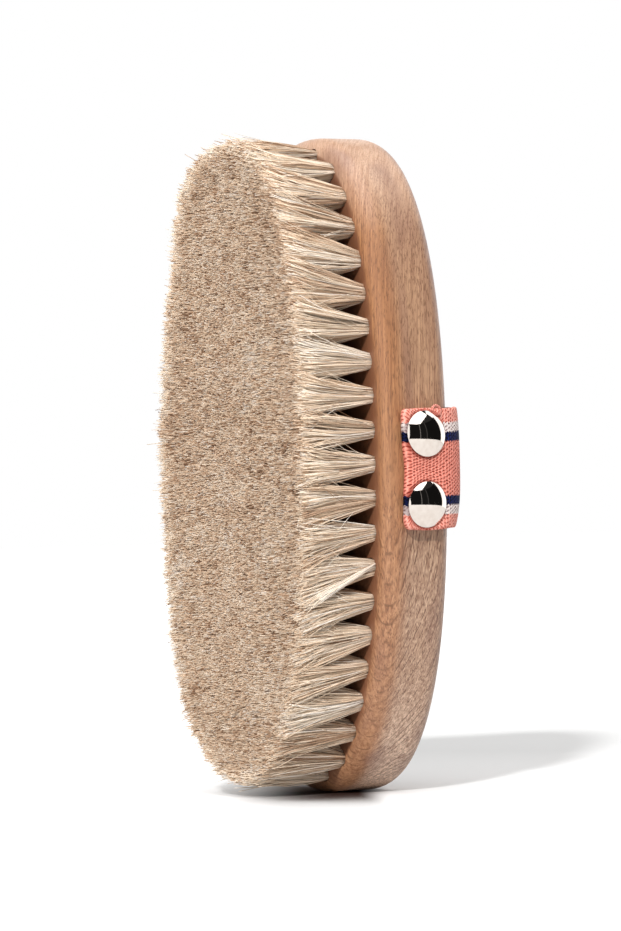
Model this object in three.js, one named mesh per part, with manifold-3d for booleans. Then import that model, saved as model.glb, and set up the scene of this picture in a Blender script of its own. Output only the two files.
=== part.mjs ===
// Oval body brush: a beech block set with tufts of horsehair, and a webbing hand strap nailed over its back.
// It stands on one end. +Z runs along its length, the hair faces -Y and the strap arches over the back, +Y.
// Sizes are in millimetres, and the pieces are laid out round the middle of the block.
import * as THREE from "three";
import { mergeVertices } from "three/addons/utils/BufferGeometryUtils.js";
import Module from "manifold-3d";

const wasm = await Module();
wasm.setup();

// The block: an oval board with a larger round on its back edge than on its hair side.
const BLOCK_LENGTH = 137;
const BLOCK_WIDTH = 57.5;
const BLOCK_THICKNESS = 17.5;
const OVAL_POWER = 2.37; // 2 makes an ellipse, and more makes squarer shoulders
const FRONT_ROUND = 4.2;
const BACK_ROUND = 5.2;
const OUTLINE_SIDES = 60;
const ROUND_STEPS = 4;

// The tufts: rings that follow the outline, and a straight row down the middle.
const RING_TUFTS = [42, 34, 28];
const ROW_TUFTS = 12;
const HOLE_RADIUS = 1.9;
const HOLE_DEPTH = 6;
const ROOT_END_INSET = 4.1; // from the block's ends in to the outer ring of holes
const HAIR_LENGTH = 20; // from the mouth of a hole to the trimmed face
const FACE_SIDE_INSET = 3.4; // from the block's outline in to the trimmed face's
const FACE_END_INSET = 1.5;
const TUFT_CLEARANCE = 0.2; // round a tuft in its hole
const TUFT_GAP = 0.4; // between two tufts at the trimmed face
const TUFT_MINGLE = 0.3; // how far neighbours in one inner ring run into each other at the face
const TUFT_SIDES = 8;

// The strap: one band of webbing with both its ends folded under.
const STRAP_WIDTH = 25;
const STRAP_LAYER = 1.15;
const STRAP_CLEARANCE = 0.25; // between the block's side and the tucked end
const STRAP_RISE = 9; // from the block's back to the band, at the middle
const STRAP_END_MARGIN = 0.65; // from a nail's head to the fold
const STRAP_LIFT_OFF = 3.7; // from the nails to where the band leaves the side
const STRAP_SET_DOWN = 1.2; // from the block's middle to the strap's
const ARCH_STEPS = 24;
const FOLD_STEPS = 6;

// The nails: hollow domes on pointed shanks, two through each end of the strap.
const NAIL_HEAD_RADIUS = 4.9;
const NAIL_HEAD_HEIGHT = 2.05;
const NAIL_HEAD_WALL = 0.6;
const NAIL_HEAD_SPACING = 4.7; // between the two heads on one side
const NAIL_SEAT_GAP = 0.2; // between the strap and a head's rim
const SHANK_RADIUS = 0.8;
const SHANK_LENGTH = 11;
const SHANK_POINT = 2.5;
const SHANK_CLEARANCE = 0.2;
const HOLE_WEB = 1.05; // wood left between a tuft's hole and a shank's
const NAIL_SIDES = 16;
const DOME_STEPS = 5;
const HOLLOW_STEPS = 2;

const FRONT_Y = -BLOCK_THICKNESS / 2;
const BACK_Y = BLOCK_THICKNESS / 2;
const FACE_Y = FRONT_Y - HAIR_LENGTH;
const HOLE_FLOOR_Y = FRONT_Y + HOLE_DEPTH;

// The webbing's faces beside the block: the tucked end lies between the inner and the middle one.
const STRAP_INNER_X = BLOCK_WIDTH / 2 + STRAP_CLEARANCE;
const STRAP_MIDDLE_X = STRAP_INNER_X + STRAP_LAYER;
const STRAP_OUTER_X = STRAP_MIDDLE_X + STRAP_LAYER;

const SHANK_HOLE_RADIUS = SHANK_RADIUS + SHANK_CLEARANCE;
const NAIL_X = STRAP_OUTER_X + NAIL_SEAT_GAP;
const NAIL_Y = HOLE_FLOOR_Y + HOLE_WEB + SHANK_HOLE_RADIUS;
const NAIL_Z = NAIL_HEAD_RADIUS + NAIL_HEAD_SPACING / 2;

// The block's outline and the rings of tufts: an ellipse with fuller shoulders, in the XZ plane.
class Oval extends THREE.Curve {
  constructor(halfWidth, halfLength) {
    super();
    this.halfWidth = halfWidth;
    this.halfLength = halfLength;
    this.arcLengthDivisions = 1200;
  }

  getPoint(share, target = new THREE.Vector3()) {
    const angle = share * 2 * Math.PI;
    const bulge = (value) => Math.sign(value) * Math.abs(value) ** (2 / OVAL_POWER);
    return target.set(this.halfWidth * bulge(Math.cos(angle)), 0, this.halfLength * bulge(Math.sin(angle)));
  }

  halfWidthAt(z) {
    const share = Math.abs(z) / this.halfLength;
    return this.halfWidth * (1 - share ** OVAL_POWER) ** (1 / OVAL_POWER);
  }

  outwardAt(share) {
    const along = this.getTangentAt(share);
    return new THREE.Vector3(along.z, 0, -along.x);
  }

  inset(distance) {
    return new Oval(this.halfWidth - distance, this.halfLength - distance);
  }
}

// Joins a stack of rings, which run from +Y to -Y and have as many corners each, into a closed solid.
function loft(rings) {
  const sides = rings[0].length;
  const last = (rings.length - 1) * sides;
  const triangles = [];
  for (let start = 0; start < last; start += sides) {
    for (let side = 0; side < sides; side += 1) {
      const next = (side + 1) % sides;
      triangles.push(start + side, start + next, start + sides + next);
      triangles.push(start + side, start + sides + next, start + sides + side);
    }
  }
  for (let side = 1; side + 1 < sides; side += 1) {
    triangles.push(0, side + 1, side);
    triangles.push(last, last + side, last + side + 1);
  }
  const geometry = new THREE.BufferGeometry();
  geometry.setFromPoints(rings.flat());
  geometry.setIndex(triangles);
  return geometry;
}

function solidOf(geometry) {
  const bare = geometry.clone();
  bare.deleteAttribute("normal");
  bare.deleteAttribute("uv");
  const merged = mergeVertices(bare);
  const vertProperties = new Float32Array(merged.attributes.position.array);
  const triVerts = new Uint32Array(merged.index.array);
  return new wasm.Manifold(new wasm.Mesh({ numProp: 3, vertProperties, triVerts }));
}

function geometryOf(solid) {
  const mesh = solid.getMesh();
  const geometry = new THREE.BufferGeometry();
  geometry.setAttribute("position", new THREE.BufferAttribute(mesh.vertProperties, 3));
  geometry.setIndex(new THREE.BufferAttribute(mesh.triVerts, 1));
  geometry.computeVertexNormals();
  return geometry;
}

function cutAway(geometry, cutters) {
  return geometryOf(cutters.reduce((left, cutter) => left.subtract(solidOf(cutter)), solidOf(geometry)));
}

function joined(geometries) {
  return geometryOf(geometries.map(solidOf).reduce((whole, next) => whole.add(next)));
}

// A ring of corners round a point, starting outwards and turning with the oval.
function roundRing(centre, radius, outward) {
  const along = new THREE.Vector3(-outward.z, 0, outward.x);
  return Array.from({ length: TUFT_SIDES }, (_, corner) => {
    const turn = (corner / TUFT_SIDES) * 2 * Math.PI;
    const point = centre.clone();
    point.addScaledVector(outward, radius * Math.cos(turn));
    return point.addScaledVector(along, radius * Math.sin(turn));
  });
}

const atLevel = (ring, y) => ring.map((point) => new THREE.Vector3(point.x, y, point.z));

// A tuft stands in its hole as a round bundle and spreads to its own cell of the trimmed face.
function tuft({ root, outward, cell }) {
  const bundle = roundRing(root, HOLE_RADIUS - TUFT_CLEARANCE, outward);
  const foot = atLevel(bundle, HOLE_FLOOR_Y - TUFT_CLEARANCE);
  const mouth = atLevel(bundle, FRONT_Y);
  return loft([foot, mouth, atLevel(cell, FACE_Y)]);
}

function tuftHole({ root, outward }) {
  const rim = roundRing(root, HOLE_RADIUS, outward);
  return loft([atLevel(rim, HOLE_FLOOR_Y), atLevel(rim, FRONT_Y - HOLE_RADIUS)]);
}

const blockOutline = new Oval(BLOCK_WIDTH / 2, BLOCK_LENGTH / 2);
const faceOutline = new Oval(BLOCK_WIDTH / 2 - FACE_SIDE_INSET, BLOCK_LENGTH / 2 - FACE_END_INSET);
const rootSideInset = FRONT_ROUND + HOLE_RADIUS; // the holes begin where the front edge is flat
const outerRoots = new Oval(BLOCK_WIDTH / 2 - rootSideInset, BLOCK_LENGTH / 2 - ROOT_END_INSET);
const rootStep = outerRoots.halfWidth / RING_TUFTS.length;
const faceStep = faceOutline.halfWidth / (RING_TUFTS.length + 0.5);

// Where one ring's tufts stand and the cells that they fill. The face is shared out in bands.
// A positive spread leaves a gap between neighbours, and a negative one lets them mingle.
function ringTufts(ring, spread) {
  const count = RING_TUFTS[ring];
  const roots = outerRoots.inset(ring * rootStep);
  const outer = faceOutline.inset(ring * faceStep + (ring > 0 ? TUFT_GAP / 2 : 0));
  const inner = faceOutline.inset((ring + 1) * faceStep - TUFT_GAP / 2);
  const reach = 0.5 / count - spread / (2 * roots.getLength());
  return Array.from({ length: count }, (_, place) => {
    const share = place / count;
    const on = (oval, step) => oval.getPointAt((share + step * reach + 1) % 1);
    const between = (step) => on(outer, step).lerp(on(inner, step), 0.5);
    const outerEdge = [on(outer, 0), on(outer, 1), between(1)];
    const innerEdge = [on(inner, 1), on(inner, 0), on(inner, -1)];
    return {
      root: roots.getPointAt(share),
      outward: roots.outwardAt(share),
      cell: [...outerEdge, ...innerEdge, between(-1), on(outer, -1)],
    };
  });
}

// The middle row's tufts fill what the innermost ring leaves of the face.
function rowTufts() {
  const space = faceOutline.inset(RING_TUFTS.length * faceStep + TUFT_GAP / 2);
  const halfRow = space.halfLength - 2 * HOLE_RADIUS;
  const pitch = (2 * halfRow) / ROW_TUFTS;
  const reach = (pitch + TUFT_MINGLE) / 2;
  return Array.from({ length: ROW_TUFTS }, (_, place) => {
    const z = (place + 0.5) * pitch - halfRow;
    const corner = (side, step) => {
      const level = THREE.MathUtils.clamp(z + step * reach, -halfRow, halfRow);
      return new THREE.Vector3(side * space.halfWidthAt(level), 0, level);
    };
    const rightEdge = [corner(1, 0), corner(1, 1), corner(0, 1)];
    const leftEdge = [corner(-1, 1), corner(-1, 0), corner(-1, -1)];
    return {
      root: new THREE.Vector3(0, 0, z),
      outward: new THREE.Vector3(1, 0, 0),
      cell: [...rightEdge, ...leftEdge, corner(0, -1), corner(1, -1)],
    };
  });
}

// Each nail's place: on both sides of the block, near and far along the strap's width.
const nailPlaces = [1, -1].flatMap((side) =>
  [1, -1].map((end) => ({ side, end, z: end * NAIL_Z - STRAP_SET_DOWN })),
);

// Bores the hole that a shank leaves, from outside the strap to just past the nail's point.
function shankHole({ side, z }) {
  const depth = SHANK_LENGTH + SHANK_CLEARANCE;
  const length = depth + NAIL_HEAD_RADIUS;
  const bore = new THREE.CylinderGeometry(SHANK_HOLE_RADIUS, SHANK_HOLE_RADIUS, length, TUFT_SIDES);
  bore.rotateZ(Math.PI / 2);
  bore.translate(side * (NAIL_X - depth + length / 2), NAIL_Y, z);
  return bore;
}

function block(tufts) {
  const shares = Array.from({ length: OUTLINE_SIDES }, (_, side) => (side + 0.5) / OUTLINE_SIDES);
  const section = (inset, y) =>
    shares.map((share) => {
      const point = blockOutline.getPointAt(share);
      point.addScaledVector(blockOutline.outwardAt(share), -inset);
      return point.setY(y);
    });
  const steps = Array.from({ length: ROUND_STEPS + 1 }, (_, step) => (step / ROUND_STEPS) * (Math.PI / 2));
  const backEdge = steps.map((turn) =>
    section(BACK_ROUND * (1 - Math.sin(turn)), BACK_Y - BACK_ROUND * (1 - Math.cos(turn))),
  );
  const frontEdge = steps.map((turn) =>
    section(FRONT_ROUND * (1 - Math.cos(turn)), FRONT_Y + FRONT_ROUND * (1 - Math.sin(turn))),
  );
  const board = loft([...backEdge, ...frontEdge]);
  return cutAway(board, [...tufts.map(tuftHole), ...nailPlaces.map(shankHole)]);
}

// The band is a profile across the brush, drawn out along its width: two folds, an arch and two tucked ends.
function strap() {
  const foldY = NAIL_Y - NAIL_HEAD_RADIUS - STRAP_END_MARGIN + STRAP_LAYER;
  const springY = NAIL_Y + STRAP_LIFT_OFF;
  const innerRise = BACK_Y + STRAP_RISE - springY;
  const fold = (x) =>
    new THREE.EllipseCurve(x, foldY, STRAP_LAYER, STRAP_LAYER, Math.PI, 2 * Math.PI).getPoints(FOLD_STEPS);
  const outerArch = new THREE.EllipseCurve(0, springY, STRAP_OUTER_X, innerRise + STRAP_LAYER, 0, Math.PI);
  const innerArch = new THREE.EllipseCurve(0, springY, STRAP_MIDDLE_X, innerRise, Math.PI, 0, true);
  const profile = new THREE.Shape([
    ...fold(STRAP_MIDDLE_X),
    ...outerArch.getPoints(ARCH_STEPS),
    ...fold(-STRAP_MIDDLE_X),
    new THREE.Vector2(-STRAP_INNER_X, springY),
    ...innerArch.getPoints(ARCH_STEPS),
    new THREE.Vector2(STRAP_INNER_X, springY),
  ]);
  const band = new THREE.ExtrudeGeometry(profile, { depth: STRAP_WIDTH, bevelEnabled: false });
  band.translate(0, 0, -STRAP_WIDTH / 2 - STRAP_SET_DOWN);
  return cutAway(band, nailPlaces.map(shankHole));
}

// A stamped dome, hollow underneath, on a pointed shank. The rim is at height 0 and the shank points down.
function nail() {
  const domeRadius = (NAIL_HEAD_RADIUS ** 2 + NAIL_HEAD_HEIGHT ** 2) / (2 * NAIL_HEAD_HEIGHT);
  const domeCentre = NAIL_HEAD_HEIGHT - domeRadius;
  const hollowRadius = domeRadius - NAIL_HEAD_WALL;
  const arc = (radius, from, to, steps) =>
    new THREE.EllipseCurve(0, domeCentre, radius, radius, from, to, to < from).getPoints(steps);
  const hollowTop = Math.acos(SHANK_RADIUS / hollowRadius);
  const hollowRim = Math.asin(-domeCentre / hollowRadius);
  const domeRim = Math.asin(-domeCentre / domeRadius);
  const dome = arc(domeRadius, domeRim, Math.PI / 2, DOME_STEPS).slice(0, -1);
  return new THREE.LatheGeometry(
    [
      new THREE.Vector2(0, -SHANK_LENGTH),
      new THREE.Vector2(SHANK_RADIUS, SHANK_POINT - SHANK_LENGTH),
      ...arc(hollowRadius, hollowTop, hollowRim, HOLLOW_STEPS),
      ...dome,
      new THREE.Vector2(0, NAIL_HEAD_HEIGHT),
    ],
    NAIL_SIDES,
  );
}

function material(color, roughness, metalness = 0) {
  return new THREE.MeshStandardMaterial({ color, roughness, metalness, flatShading: true });
}

function piece(name, geometry, finish) {
  const mesh = new THREE.Mesh(geometry, finish);
  mesh.name = name;
  return mesh;
}

const outerTufts = ringTufts(0, TUFT_GAP);
const secondTufts = ringTufts(1, -TUFT_MINGLE);
const thirdTufts = ringTufts(2, -TUFT_MINGLE);
const middleTufts = rowTufts();

const brush = new THREE.Group();
const allTufts = [...outerTufts, ...secondTufts, ...thirdTufts, ...middleTufts];
brush.add(piece("oval_block", block(allTufts), material(0xd8b081, 0.55)));
brush.add(piece("hand_strap", strap(), material(0xe0705c, 0.9)));

outerTufts.forEach((place, index) => {
  const name = `outer_tuft_${String(index + 1).padStart(2, "0")}`;
  brush.add(piece(name, tuft(place), material(0xc9b291, 0.8)));
});
brush.add(piece("second_ring_tufts", joined(secondTufts.map(tuft)), material(0xc4ab88, 0.8)));
brush.add(piece("third_ring_tufts", joined(thirdTufts.map(tuft)), material(0xc4ab88, 0.8)));
brush.add(piece("middle_row_tufts", joined(middleTufts.map(tuft)), material(0xc4ab88, 0.8)));

nailPlaces.forEach(({ side, end, z }) => {
  const name = `${side > 0 ? "right" : "left"}_${end > 0 ? "upper" : "lower"}_nail`;
  const placed = piece(name, nail(), material(0xc8c8c4, 0.12, 1));
  placed.rotation.z = (-side * Math.PI) / 2;
  placed.position.set(side * NAIL_X, NAIL_Y, z);
  brush.add(placed);
});

// The origin is on the surface that the brush stands on, under the middle of its box.
const extent = new THREE.Box3().setFromObject(brush);
const centre = extent.getCenter(new THREE.Vector3());
brush.position.set(-centre.x, -centre.y, -extent.min.z);

export default brush;
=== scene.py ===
import math

import bpy
import numpy as np
from mathutils import Matrix, Vector


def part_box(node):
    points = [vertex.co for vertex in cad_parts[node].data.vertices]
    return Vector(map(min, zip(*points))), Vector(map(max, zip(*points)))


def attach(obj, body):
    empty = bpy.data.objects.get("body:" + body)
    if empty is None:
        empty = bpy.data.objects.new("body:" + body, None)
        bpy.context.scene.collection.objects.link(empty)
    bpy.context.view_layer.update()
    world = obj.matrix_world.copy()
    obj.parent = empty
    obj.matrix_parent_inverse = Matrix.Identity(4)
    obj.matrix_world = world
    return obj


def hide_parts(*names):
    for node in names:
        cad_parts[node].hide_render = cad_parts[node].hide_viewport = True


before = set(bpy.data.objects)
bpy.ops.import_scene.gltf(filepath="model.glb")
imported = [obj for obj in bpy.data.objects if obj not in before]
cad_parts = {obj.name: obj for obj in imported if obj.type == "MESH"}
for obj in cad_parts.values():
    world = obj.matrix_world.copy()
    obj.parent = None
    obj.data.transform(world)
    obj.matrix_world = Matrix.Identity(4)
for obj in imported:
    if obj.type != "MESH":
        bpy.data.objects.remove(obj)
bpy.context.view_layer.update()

# The studio: a pale table under a large soft lamp that hangs above the brush towards the camera.
# A low lamp at the front left throws the shadow to the right. Dark walls and a white screen stand round
# the table, and only show in the polished nails. The camera is level with the middle of the block.
bpy.context.scene.view_settings.view_transform = "Standard"
MM = 0.001
VIEW_TURN = math.radians(55.0)
CAMERA_DISTANCE = 1100 * MM
CAMERA_LENS = 202.5
CAMERA_ROLL = math.radians(1.07)
FRAME_CENTRE = (-6.62 * MM, -0.16 * MM)  # from the block's middle, to the right and up
block_low, block_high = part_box("oval_block")
block_middle = (block_low + block_high) / 2
towards_camera = Vector((math.sin(VIEW_TURN), -math.cos(VIEW_TURN), 0.0))
to_the_right = Vector((math.cos(VIEW_TURN), math.sin(VIEW_TURN), 0.0))
straight_up = Vector((0.0, 0.0, 1.0))
bpy.ops.object.select_all(action="DESELECT")
bpy.ops.object.camera_add()
camera = bpy.context.object
camera.name = "studio_camera"
camera.data.lens = CAMERA_LENS
camera.data.clip_start = 50 * MM
rolled_right = math.cos(CAMERA_ROLL) * to_the_right - math.sin(CAMERA_ROLL) * straight_up
rolled_up = math.sin(CAMERA_ROLL) * to_the_right + math.cos(CAMERA_ROLL) * straight_up
camera_place = block_middle + CAMERA_DISTANCE * towards_camera
aimed_at = block_middle + FRAME_CENTRE[0] * rolled_right + FRAME_CENTRE[1] * rolled_up
backwards = (camera_place - aimed_at).normalized()
sideways = rolled_up.cross(backwards).normalized()
camera_turn = Matrix((sideways, backwards.cross(sideways), backwards)).transposed().to_4x4()
camera.matrix_world = Matrix.Translation(camera_place) @ camera_turn
bpy.context.scene.camera = camera


def add_node(tree, kind, inputs=None, **settings):
    made = tree.nodes.new(kind)
    for name, value in settings.items():
        setattr(made, name, value)
    for name, value in (inputs or {}).items():
        if isinstance(value, bpy.types.NodeSocket):
            tree.links.new(value, made.inputs[name])
        else:
            made.inputs[name].default_value = value
    return made


def maths(tree, operation, *values):
    return add_node(tree, "ShaderNodeMath", dict(enumerate(values)), operation=operation).outputs[0]


def product(tree, value, *factors):
    for factor in factors:
        value = maths(tree, "MULTIPLY", value, factor)
    return value


def vector_maths(tree, operation, *values):
    made = add_node(tree, "ShaderNodeVectorMath", dict(enumerate(values)), operation=operation)
    return made.outputs["Value" if operation in ("DOT_PRODUCT", "LENGTH", "DISTANCE") else "Vector"]


def scaled(tree, value, low, high, new_low=0.0, new_high=1.0, way="LINEAR"):
    inputs = {"Value": value, "From Min": low, "From Max": high, "To Min": new_low, "To Max": new_high}
    return add_node(tree, "ShaderNodeMapRange", inputs, interpolation_type=way).outputs[0]


def eased(tree, value, low, high, new_low=0.0, new_high=1.0):
    return scaled(tree, value, low, high, new_low, new_high, "SMOOTHSTEP")


def mix_colours(tree, share, first, second, kind="MIX"):
    inputs = {0: share, 6: first, 7: second}
    return add_node(tree, "ShaderNodeMix", inputs, data_type="RGBA", blend_type=kind).outputs[2]


def new_material(name):
    made = bpy.data.materials.new(name)
    made.use_nodes = True
    made.node_tree.nodes.clear()
    return made, made.node_tree


def own_place(tree):
    return add_node(tree, "ShaderNodeTexCoord").outputs["Object"]


def show(tree, shader):
    add_node(tree, "ShaderNodeOutputMaterial", {"Surface": shader.outputs[0]})


TABLE_SIZE = 6.0
TABLE_DROP = 0.1 * MM
SHADE_REACH = 48 * MM
TABLE_LIT, TABLE_PAINTED_SHADE, TABLE_BOUNCE = (0.80, 0.80, 0.80, 1), (0.05, 0.03, 0.025, 1), (0.62, 0.60, 0.59, 1)
bpy.ops.mesh.primitive_plane_add(size=TABLE_SIZE, location=(0.0, 0.0, -TABLE_DROP))
table = bpy.context.object
table.name = "pale_table"
table_white, tree = new_material("table_white")
path = add_node(tree, "ShaderNodeLightPath").outputs
table_place = own_place(tree)
away = vector_maths(tree, "LENGTH", table_place)
beside = vector_maths(tree, "DOT_PRODUCT", table_place, to_the_right)
# Painted contact shadow: the table darkens towards a brown where ambient occlusion finds the brush close,
# fading out by 28 mm to the left and 13 mm to the right of the block's middle.
past_left = eased(tree, beside, 2 * MM, -28 * MM)
past_right = eased(tree, beside, 6 * MM, 13 * MM)
shut_in = add_node(tree, "ShaderNodeAmbientOcclusion", {"Distance": SHADE_REACH}, samples=8)
open_share = eased(tree, shut_in.outputs["AO"], 0.40, 0.97)
open_share = maths(tree, "MAXIMUM", maths(tree, "MAXIMUM", open_share, past_left), past_right)
tone = mix_colours(tree, open_share, TABLE_PAINTED_SHADE, TABLE_LIT)
seen = maths(tree, "MAXIMUM", path["Is Camera Ray"], path["Is Glossy Ray"])
tone = mix_colours(tree, seen, TABLE_BOUNCE, tone)
matt = add_node(tree, "ShaderNodeBsdfDiffuse", {"Color": tone})
# Seen by the camera the table glows: more far away, so that it stays evenly white, and to the left of the
# brush and close to its right as painted light that lifts the shadow there.
far = scaled(tree, away, 150 * MM, 1400 * MM, 0.0, 0.75)
painted_lift_left = eased(tree, beside, -5 * MM, -25 * MM, 0.0, 0.36)
painted_lift_right = product(tree, past_right, scaled(tree, away, 30 * MM, 150 * MM, 0.14, 0.0))
lift = maths(tree, "MAXIMUM", maths(tree, "MAXIMUM", far, painted_lift_left), painted_lift_right)
glow = add_node(tree, "ShaderNodeEmission", {"Strength": product(tree, path["Is Camera Ray"], lift)})
show(tree, add_node(tree, "ShaderNodeAddShader", {0: matt.outputs[0], 1: glow.outputs[0]}))
table.data.materials.append(table_white)

ROOM_LIGHT, MIRRORED_LIGHT, BACKGROUND_LIGHT = 0.34, 0.03, 1.0
studio_air = bpy.data.worlds.new("studio_air")
studio_air.use_nodes = True
bpy.context.scene.world = studio_air
tree = studio_air.node_tree
tree.nodes.clear()


def air(tint, strength):
    return add_node(tree, "ShaderNodeBackground", {"Color": tint, "Strength": strength}).outputs[0]


path = add_node(tree, "ShaderNodeLightPath").outputs
room, mirrored = air((1.0, 0.99, 0.97, 1), ROOM_LIGHT), air((1, 1, 1, 1), MIRRORED_LIGHT)
unseen = add_node(tree, "ShaderNodeMixShader", {0: path["Is Glossy Ray"], 1: room, 2: mirrored})
background = air((1, 1, 1, 1), BACKGROUND_LIGHT)
shown = add_node(tree, "ShaderNodeMixShader", {0: path["Is Camera Ray"], 1: unseen.outputs[0], 2: background})
add_node(tree, "ShaderNodeOutputWorld", {"Surface": shown.outputs[0]})

SOFTBOX_NEARER, SOFTBOX_ASIDE, SOFTBOX_UP = 0.55, 0.145, 1.06
SOFTBOX_SIZE = (1.35, 1.4)
SOFTBOX_POWER = 14.5
softbox_place = block_middle + SOFTBOX_NEARER * towards_camera + SOFTBOX_ASIDE * to_the_right
softbox_place = softbox_place + SOFTBOX_UP * straight_up
bpy.ops.object.light_add(type="AREA", location=softbox_place)
softbox = bpy.context.object
softbox.name = "softbox_above"
softbox.data.shape = "RECTANGLE"
softbox.data.size, softbox.data.size_y = SOFTBOX_SIZE
softbox.data.energy = SOFTBOX_POWER
softbox.rotation_euler = (0.0, 0.0, VIEW_TURN)

LOW_LAMP_STRENGTH = 2.4
LOW_LAMP_SIDE = math.radians(13.2)
LOW_LAMP_RISE = math.radians(31.0)
LOW_LAMP_SPREAD = math.radians(3.5)
low_lamp_way = math.cos(LOW_LAMP_SIDE) * towards_camera - math.sin(LOW_LAMP_SIDE) * to_the_right
low_lamp_way = math.cos(LOW_LAMP_RISE) * low_lamp_way + math.sin(LOW_LAMP_RISE) * straight_up
bpy.ops.object.light_add(type="SUN", location=block_middle + low_lamp_way)
low_lamp = bpy.context.object
low_lamp.name = "low_front_lamp"
low_lamp.data.energy = LOW_LAMP_STRENGTH
low_lamp.data.angle = LOW_LAMP_SPREAD
low_lamp.rotation_euler = low_lamp_way.to_track_quat("Z", "Y").to_euler()
low_lamp.visible_glossy = False


def apply_place():
    bpy.ops.object.transform_apply(location=True, rotation=True, scale=True)


def grey(level):
    return (level, level, level, 1)


def colour_ramp(tree, share, stops, way="LINEAR"):
    made = add_node(tree, "ShaderNodeValToRGB", {0: share})
    ramp = made.color_ramp
    ramp.interpolation = way
    ramp.elements[0].position, ramp.elements[0].color = stops[0]
    ramp.elements[1].position, ramp.elements[1].color = stops[-1]
    for position, tint in stops[1:-1]:
        ramp.elements.new(position).color = tint
    return made.outputs[0]


WALL_RADIUS, WALL_HEIGHT, WALL_MIDDLE = 0.42, 0.38, 0.20
WALL_BANDS = (  # each band starts at an azimuth in degrees, and has one brightness
    (-180, 1.5), (-60, 0.2), (-5, 1.3), (52, 0.01), (85, 0.30),
    (86.5, 0.012), (106.5, 0.06), (109.5, 0.008), (168, 1.5), (180, 1.5),
)
wall_size = {"vertices": 128, "radius": WALL_RADIUS, "depth": WALL_HEIGHT, "end_fill_type": "NOTHING"}
bpy.ops.mesh.primitive_cylinder_add(location=(0.0, 0.0, WALL_MIDDLE), **wall_size)
dark_walls = bpy.context.object
dark_walls.name = "dark_walls"
apply_place()
wall_paint, tree = new_material("wall_paint")
wall_spot = add_node(tree, "ShaderNodeSeparateXYZ", {0: own_place(tree)}).outputs
azimuth = maths(tree, "ARCTAN2", wall_spot["X"], product(tree, wall_spot["Y"], -1.0))
band_stops = [((degrees + 180) / 360, grey(level)) for degrees, level in WALL_BANDS]
bands = colour_ramp(tree, scaled(tree, azimuth, -math.pi, math.pi), band_stops, "CONSTANT")
show(tree, add_node(tree, "ShaderNodeEmission", {"Color": bands, "Strength": 1.0}))
dark_walls.data.materials.append(wall_paint)

SCREEN_WIDTH, SCREEN_HEIGHT, SCREEN_AWAY = 0.8, 0.9, 0.46
SCREEN_EDGE = math.radians(166.2)
SCREEN_LEAN = 0.17
SCREEN_LIGHT = 1.5
bpy.ops.mesh.primitive_plane_add(size=1.0)
white_screen = bpy.context.object
white_screen.name = "white_screen"
edge_spot = SCREEN_AWAY * Vector((math.sin(SCREEN_EDGE), -math.cos(SCREEN_EDGE), 0.0))
screen_way = SCREEN_WIDTH * Vector((math.cos(SCREEN_EDGE), math.sin(SCREEN_EDGE), 0.0))
screen_rise = SCREEN_HEIGHT * (straight_up + SCREEN_LEAN * to_the_right)
for vertex in white_screen.data.vertices:
    vertex.co = edge_spot + (vertex.co.x + 0.5) * screen_way + (vertex.co.y + 0.5) * screen_rise
screen_cloth, tree = new_material("screen_cloth")
show(tree, add_node(tree, "ShaderNodeEmission", {"Strength": SCREEN_LIGHT}))
white_screen.data.materials.append(screen_cloth)
for standing in (dark_walls, white_screen):
    standing.visible_camera = standing.visible_diffuse = False
    standing.visible_shadow = standing.visible_transmission = False

# The block: one piece of beech, cut to an oval with full shoulders and rounded over at both edges.
# Its grain runs along its length. A blind hole is drilled for each tuft, and four small ones for the nails.
OVAL_POWER = 2.37
OUTLINE_SIDES = 192
FRONT_ROUND = 4.2 * MM
BACK_ROUND = 5.2 * MM
CLOSE_TO = 0.01 * MM
middle_z = block_middle.z
front_y, back_y = block_low.y, block_high.y
half_width, half_length = block_high.x, (block_high.z - block_low.z) / 2


def oval(half_width, half_length, shares):
    def bulge(value):
        return np.sign(value) * np.abs(value) ** (2 / OVAL_POWER)

    turn = np.linspace(0, 2 * np.pi, 6001)
    x, z = half_width * bulge(np.cos(turn)), half_length * bulge(np.sin(turn))
    run = np.concatenate([[0], np.cumsum(np.hypot(np.diff(x), np.diff(z)))])
    wanted = (np.asarray(shares) % 1.0) * run[-1]
    return np.stack([np.interp(wanted, run, x), np.interp(wanted, run, z)], -1)


def start_fresh():
    if bpy.context.mode != "OBJECT":
        bpy.ops.object.mode_set(mode="OBJECT")
    bpy.ops.object.select_all(action="DESELECT")


def make_active(piece):
    start_fresh()
    piece.select_set(True)
    bpy.context.view_layer.objects.active = piece


def pick_edges(piece, wanted):
    make_active(piece)
    bpy.ops.object.mode_set(mode="EDIT")
    bpy.ops.mesh.select_mode(type="EDGE")
    bpy.ops.mesh.select_all(action="DESELECT")
    bpy.ops.object.mode_set(mode="OBJECT")
    for edge in piece.data.edges:
        edge.select = all(wanted(piece.data.vertices[end].co) for end in edge.vertices)
    bpy.ops.object.mode_set(mode="EDIT")


def face_outward():
    bpy.ops.mesh.select_all(action="SELECT")
    bpy.ops.mesh.normals_make_consistent(inside=False)


def apply_modifier(piece, kind, **settings):
    make_active(piece)
    bpy.ops.object.modifier_add(type=kind)
    added = piece.modifiers[-1]
    for name, value in settings.items():
        setattr(added, name, value)
    bpy.ops.object.modifier_apply(modifier=added.name)


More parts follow.
